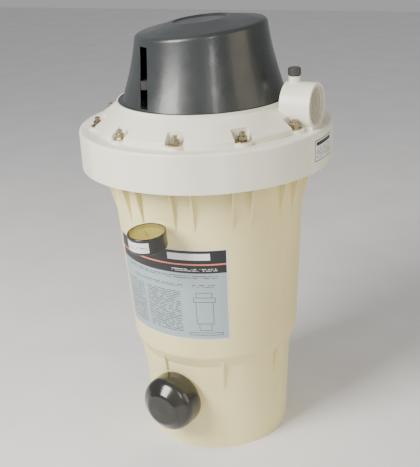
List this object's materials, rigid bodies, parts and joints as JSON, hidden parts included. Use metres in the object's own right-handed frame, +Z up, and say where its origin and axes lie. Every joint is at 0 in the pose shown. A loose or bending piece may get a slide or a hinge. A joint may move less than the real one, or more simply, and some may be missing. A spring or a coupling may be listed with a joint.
{
  "type": "pool filter",
  "caption": "Footed round pool filter tank with bolted flanged head, side outlet, black dome cover over a bump rocker, gauge, relief valve and inner tube nest.",
  "frame": {"origin": "centre of the tank's foot, on the floor", "axes": "+Z up along the tank axis; +X along the outlet, out of its mouth; +Y completes the right hand"},
  "size_m": [0.4703, 0.4936, 0.8194],
  "materials": {
    "tank_cream": "moulded, slightly yellowed",
    "head_white": "moulded",
    "cover_black": "glossy",
    "plated_steel": "zinc plated, dulled",
    "seal_rubber": "matt",
    "black_plastic": "moulded",
    "bare_steel": "turned",
    "inner_white": "moulded",
    "tube_cloth": "woven sleeve",
    "cap_black": "glossy",
    "gauge_black": "glossy",
    "lens": "yellowed clear window",
    "dial_yellow": "printed, yellowed",
    "pointer_dark": "matt",
    "stem_brass": "dulled",
    "sticker_white": "printed film",
    "label_blue": "printed film"
  },
  "bodies": {
    "shell": {"tank_body": "tank_cream", "filter_head": "head_white", "dome_cover": "cover_black", "flange_bolts": "plated_steel", "flange_nuts": "plated_steel", "top_washers": "plated_steel", "bottom_washers": "plated_steel", "flange_gasket": "seal_rubber", "shaft_bearings": "black_plastic", "bearing_screws": "bare_steel", "rod_seal": "seal_rubber", "gland_nut": "black_plastic", "inlet_diffuser": "inner_white", "gauge_case": "gauge_black", "gauge_bezel": "gauge_black", "gauge_lens": "lens", "gauge_dial": "dial_yellow", "gauge_stem": "stem_brass", "gauge_sticker": "sticker_white", "main_label": "label_blue", "ring_label": "sticker_white"},
    "rocker": {"rocker_shaft": "bare_steel", "handle_socket": "black_plastic", "lift_arm": "black_plastic"},
    "tube_nest": {"rod_clevis": "bare_steel", "clevis_pin": "bare_steel", "lift_rod": "bare_steel", "upper_tube_sheet": "inner_white", "lower_tube_guide": "inner_white", "flex_tubes": "tube_cloth", "rod_nuts": "bare_steel"},
    "cap_carrier": {"inlet_gasket": "seal_rubber"},
    "cap": {"inlet_cap": "cap_black"},
    "drain_carrier": {"drain_seal": "seal_rubber"},
    "drain": {"drain_plug": "black_plastic"},
    "relief_carrier": {"relief_seal": "seal_rubber"},
    "relief": {"relief_knob": "black_plastic", "relief_stem": "inner_white"},
    "pointer": {"gauge_pointer": "pointer_dark"}
  },
  "joints": [
    {"name": "bump_rocker", "type": "hinge", "parent": "shell", "child": "rocker", "pos_m": [-0.0218, 0.0559, 0.716], "axis": [-0.9317, -0.3633, 0], "range_deg": [-8, 16]},
    {"name": "tube_nest_lift", "type": "slide", "parent": "shell", "child": "tube_nest", "axis": [0, 0, 1], "range_m": [-0.0086, 0.017]},
    {"name": "inlet_cap_travel", "type": "slide", "parent": "shell", "child": "cap_carrier", "axis": [-0.0941, -0.9956, 0], "range_m": [0, 0.0125]},
    {"name": "inlet_cap_turn", "type": "hinge", "parent": "cap_carrier", "child": "cap", "pos_m": [-0.01779, -0.18816, 0.115], "axis": [-0.0941, -0.9956, 0], "range_deg": [0, 720]},
    {"name": "drain_plug_travel", "type": "slide", "parent": "shell", "child": "drain_carrier", "axis": [-0.2079, 0.9781, 0], "range_m": [0, 0.0055]},
    {"name": "drain_plug_turn", "type": "hinge", "parent": "drain_carrier", "child": "drain", "pos_m": [-0.03223, 0.15161, 0.062], "axis": [-0.2079, 0.9781, 0], "range_deg": [0, 720]},
    {"name": "relief_travel", "type": "slide", "parent": "shell", "child": "relief_carrier", "axis": [0, 0, 1], "range_m": [0, 0.0024]},
    {"name": "relief_turn", "type": "hinge", "parent": "relief_carrier", "child": "relief", "pos_m": [0.179, 0, 0.73], "axis": [0, 0, 1], "range_deg": [0, 540]},
    {"name": "gauge_pointer_turn", "type": "hinge", "parent": "shell", "child": "pointer", "pos_m": [-0.00817, -0.22282, 0.4715], "axis": [0.0038, 0.1045, -0.9945], "range_deg": [0, 270]}
  ],
  "couplings": [
    {"joint": "tube_nest_lift", "follows": "bump_rocker", "m_per_rad": 0.06},
    {"joint": "inlet_cap_travel", "follows": "inlet_cap_turn", "m_per_rad": 0.00095493},
    {"joint": "drain_plug_travel", "follows": "drain_plug_turn", "m_per_rad": 0.00039789},
    {"joint": "relief_travel", "follows": "relief_turn", "m_per_rad": 0.00023873}
  ]
}
